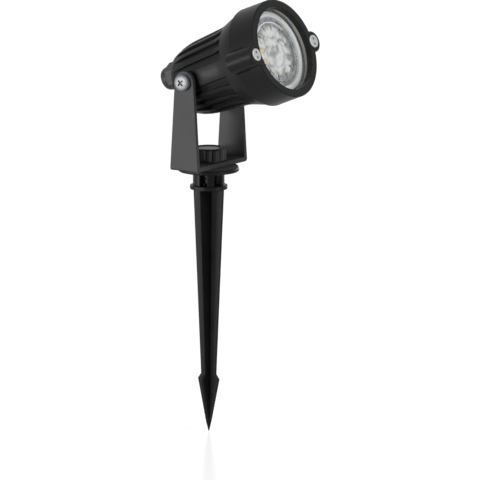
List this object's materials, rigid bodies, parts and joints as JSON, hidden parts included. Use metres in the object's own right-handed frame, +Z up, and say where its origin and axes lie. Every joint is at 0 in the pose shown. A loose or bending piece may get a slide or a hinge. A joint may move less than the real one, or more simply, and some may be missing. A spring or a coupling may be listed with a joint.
{
  "type": "garden spike spotlight",
  "caption": "Finned black garden spotlight whose head tilts in a U bracket, clamped by a knob to a barbed ground spike.",
  "frame": {"origin": "on the spike's axis at the underside of the soil collar, which is the ground line", "axes": "+Z up along the spike's axis, -Y the way the beam points seen from above, +X along the pivot screws"},
  "size_m": [0.0762, 0.1003, 0.271],
  "materials": {
    "spike_plastic": "matte",
    "washer_rubber": "matte",
    "bracket_paint": "powder coated, satin",
    "knob_plastic": "satin",
    "housing_paint": "powder coated, satin",
    "screw_steel": "bright",
    "clear_glass": "polished",
    "silicone": "matte",
    "lens_plastic": "polished",
    "holder_plastic": "matte",
    "led_board": "white coated",
    "led_phosphor": "satin",
    "thermal_pad": "matte",
    "spreader_metal": "as machined",
    "driver_laminate": "satin",
    "choke_winding": "enamelled",
    "terminal_plastic": "satin",
    "lead_insulation": "satin",
    "gland_plastic": "satin"
  },
  "bodies": {
    "spike": {"ground_spike": "spike_plastic", "flange_washer": "washer_rubber"},
    "yoke": {"yoke_bracket": "bracket_paint"},
    "lock_washer": {"knob_washer": "knob_plastic"},
    "knob": {"clamp_knob": "knob_plastic"},
    "head": {"heatsink_housing": "housing_paint", "pivot_screw_near": "screw_steel", "pivot_screw_far": "screw_steel", "spring_washers": "screw_steel", "front_bezel": "housing_paint", "bezel_screws": "screw_steel", "front_glass": "clear_glass", "glass_gasket": "silicone", "optic_lens": "lens_plastic", "lens_holder": "holder_plastic", "led_board": "led_board", "led_chips": "led_phosphor", "board_screws": "screw_steel", "thermal_pad": "thermal_pad", "heat_spreader": "spreader_metal", "spreader_screws": "screw_steel", "driver_board": "driver_laminate", "driver_capacitors": "spreader_metal", "driver_choke": "choke_winding", "driver_chips": "holder_plastic", "terminal_block": "terminal_plastic", "led_leads": "lead_insulation", "gland_body": "gland_plastic", "gland_ring": "washer_rubber", "gland_seal": "washer_rubber", "gland_nut": "gland_plastic"}
  },
  "joints": [
    {"name": "yoke_swivel", "type": "hinge", "parent": "spike", "child": "yoke", "pos_m": [0, 0, 0.0142], "axis": [0, 0, 1], "continuous": true},
    {"name": "knob_lift", "type": "slide", "parent": "spike", "child": "lock_washer", "axis": [0, 0, 1], "range_m": [0, 0.0025]},
    {"name": "knob_turn", "type": "hinge", "parent": "lock_washer", "child": "knob", "pos_m": [0, 0, 0.018], "axis": [0, 0, 1], "range_deg": [0, 360]},
    {"name": "head_tilt", "type": "hinge", "parent": "yoke", "child": "head", "pos_m": [0, 0, 0.0693], "axis": [-1, 0, 0], "range_deg": [-55, 120]}
  ],
  "couplings": [
    {"joint": "knob_lift", "follows": "knob_turn", "m_per_rad": 0.0003978}
  ]
}
